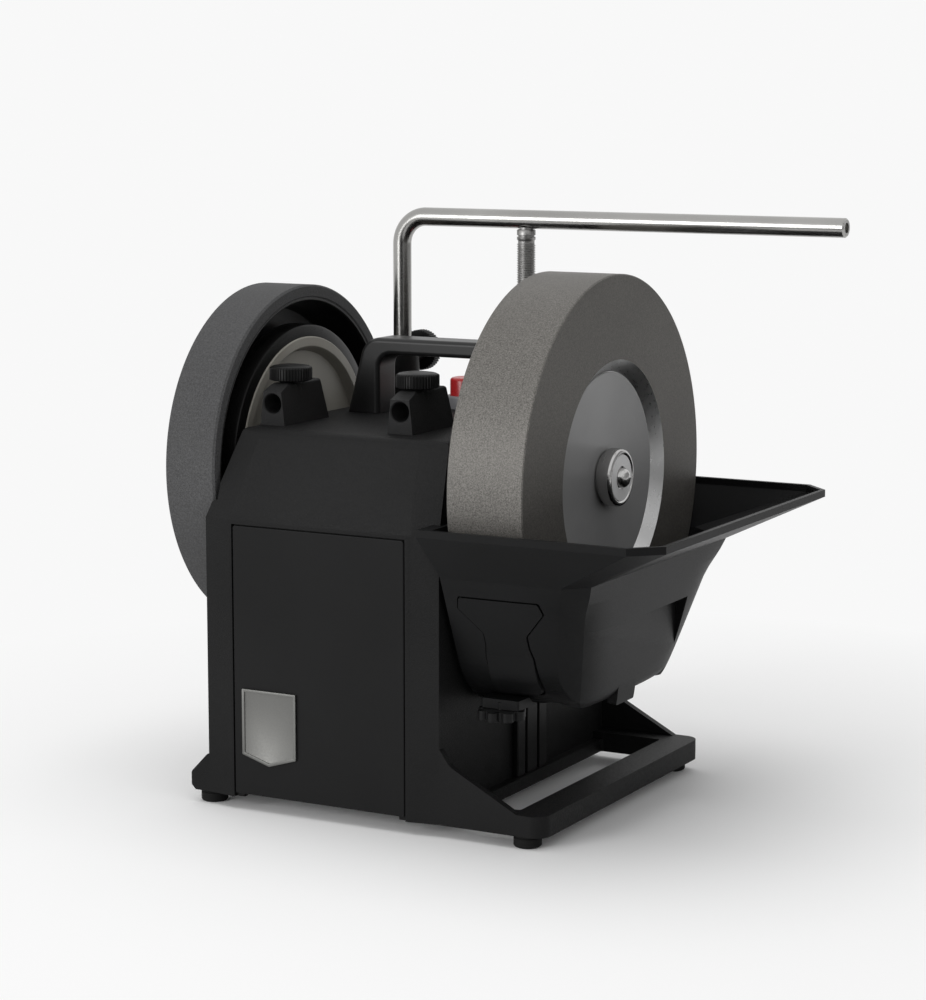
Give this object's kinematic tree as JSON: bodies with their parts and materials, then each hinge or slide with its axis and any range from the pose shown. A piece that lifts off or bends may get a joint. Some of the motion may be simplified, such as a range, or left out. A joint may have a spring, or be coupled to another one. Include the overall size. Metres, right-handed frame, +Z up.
{
  "type": "wet grinding sharpener",
  "caption": "Bench sharpener with a water-cooled grinding wheel over a trough, a honing wheel on the far side of its housing, and an adjustable tool support bar.",
  "frame": {"origin": "on the bench, under the middle of the machine's overall box", "axes": "+X along the shaft from the honing wheel to the grinding wheel, +Y from front to back, +Z up"},
  "size_m": [0.3976, 0.28, 0.369],
  "materials": {
    "housing_black": "fine matt texture",
    "panel_black": "smooth satin",
    "trough_black": "matt",
    "knob_black": "satin",
    "rubber_black": "matt",
    "steel": "polished",
    "diamond_face": "fine grain",
    "label_grey": "matt",
    "honing_grey": "fine speckle",
    "ivory": "satin",
    "pewter": "satin",
    "red": "gloss",
    "collar_grey": "satin",
    "inner_plastic": "satin",
    "bronze": "satin",
    "aluminium": "satin"
  },
  "bodies": {
    "frame": {"housing": "housing_black", "front_panel": "panel_black", "rear_panel": "panel_black", "base_plate": "steel", "badge_plate": "pewter", "rubber_feet": "rubber_black", "foot_screws": "steel", "handle": "panel_black", "handle_screws": "steel", "front_sleeve_left": "housing_black", "front_sleeve_right": "housing_black", "rear_sleeve_left": "housing_black", "rear_sleeve_right": "housing_black", "shaft_bushes": "bronze", "hinge_bracket": "steel", "hinge_pin": "steel", "motor_spring": "steel", "capacitor": "aluminium", "capacitor_clamp": "steel", "terminal_block": "inner_plastic", "switch_collar": "collar_grey", "switch_body": "inner_plastic", "cable_gland": "knob_black", "trough_rail": "knob_black"},
    "wheel_shaft": {"main_shaft": "steel", "grinding_wheel": "diamond_face", "face_disc": "label_grey", "inner_flange": "steel", "honing_wheel": "honing_grey", "drive_disc": "ivory", "drive_tyre": "rubber_black", "honing_washer": "steel", "honing_nut": "steel"},
    "wheel_nut": {"lock_nut": "steel"},
    "motor": {"motor_core": "steel", "motor_bells": "aluminium", "motor_bearings": "steel", "motor_cradle": "aluminium"},
    "motor_rotor": {"rotor": "steel", "motor_fan": "knob_black"},
    "support": {"support_bar": "steel", "threaded_leg": "steel"},
    "micro_nut": {"micro_adjust_nut": "knob_black"},
    "front_left_knob": {"front_knob_left": "knob_black"},
    "front_right_knob": {"front_knob_right": "knob_black"},
    "rear_left_knob": {"rear_knob_left": "knob_black"},
    "rear_right_knob": {"rear_knob_right": "knob_black"},
    "switch": {"switch_button": "red"},
    "water_trough": {"trough": "trough_black", "lift_block": "trough_black"},
    "trough_knob": {"lift_knob": "knob_black"},
    "latch": {"trough_latch": "trough_black"}
  },
  "joints": [
    {"name": "main_spin", "type": "hinge", "parent": "frame", "child": "wheel_shaft", "pos_m": [0, 0, 0.209], "axis": [1, 0, 0], "continuous": true},
    {"name": "wheel_nut_turn", "type": "hinge", "parent": "wheel_shaft", "child": "wheel_nut", "pos_m": [0.07, 0, 0.209], "axis": [1, 0, 0], "range_deg": [0, 360]},
    {"name": "motor_swing", "type": "hinge", "parent": "frame", "child": "motor", "pos_m": [0, -0.058, 0.10075], "axis": [1, 0, 0], "range_deg": [-1.5, 0], "stiffness_Nm_per_rad": 120, "springref_deg": 4.01, "deforming": ["motor_spring"]},
    {"name": "rotor_spin", "type": "hinge", "parent": "motor", "child": "motor_rotor", "pos_m": [0, 0.025, 0.12275], "axis": [1, 0, 0], "continuous": true},
    {"name": "micro_nut_turn", "type": "hinge", "parent": "frame", "child": "micro_nut", "pos_m": [-0.018, 0.05, 0.285], "axis": [0, 0, 1], "range_deg": [-6000, 960]},
    {"name": "support_slide", "type": "slide", "parent": "frame", "child": "support", "axis": [0, 0, 1], "range_m": [-0.004, 0.025]},
    {"name": "switch_push", "type": "slide", "parent": "frame", "child": "switch", "axis": [0, 0, -1], "range_m": [0, 0.003], "stiffness_N_per_m": 900, "springref_m": -0.001},
    {"name": "trough_slide", "type": "slide", "parent": "frame", "child": "water_trough", "axis": [0, 0, 1], "range_m": [-0.035, 0]},
    {"name": "trough_knob_turn", "type": "hinge", "parent": "water_trough", "child": "trough_knob", "pos_m": [0.0398, -0.092, 0.0755], "axis": [0, 0, 1], "range_deg": [0, 360]},
    {"name": "latch_tilt", "type": "hinge", "parent": "water_trough", "child": "latch", "pos_m": [0.05, -0.0817, 0.087], "axis": [1, 0, 0], "range_deg": [0, 18], "stiffness_Nm_per_rad": 0.06, "springref_deg": -5.73},
    {"name": "front_left_knob_turn", "type": "hinge", "parent": "frame", "child": "front_left_knob", "pos_m": [-0.1266, -0.061, 0.27], "axis": [0, 0, 1], "range_deg": [0, 360]},
    {"name": "front_right_knob_turn", "type": "hinge", "parent": "frame", "child": "front_right_knob", "pos_m": [-0.0352, -0.061, 0.27], "axis": [0, 0, 1], "range_deg": [0, 360]},
    {"name": "rear_left_knob_turn", "type": "hinge", "parent": "frame", "child": "rear_left_knob", "pos_m": [-0.1094, 0.075, 0.273], "axis": [0, 1, 0], "range_deg": [0, 360]},
    {"name": "rear_right_knob_turn", "type": "hinge", "parent": "frame", "child": "rear_right_knob", "pos_m": [-0.018, 0.075, 0.273], "axis": [0, 1, 0], "range_deg": [0, 360]}
  ],
  "couplings": [
    {"joint": "rotor_spin", "follows": "main_spin", "ratio": -18.889},
    {"joint": "micro_nut_turn", "follows": "support_slide", "rad_per_m": -4188.8}
  ]
}
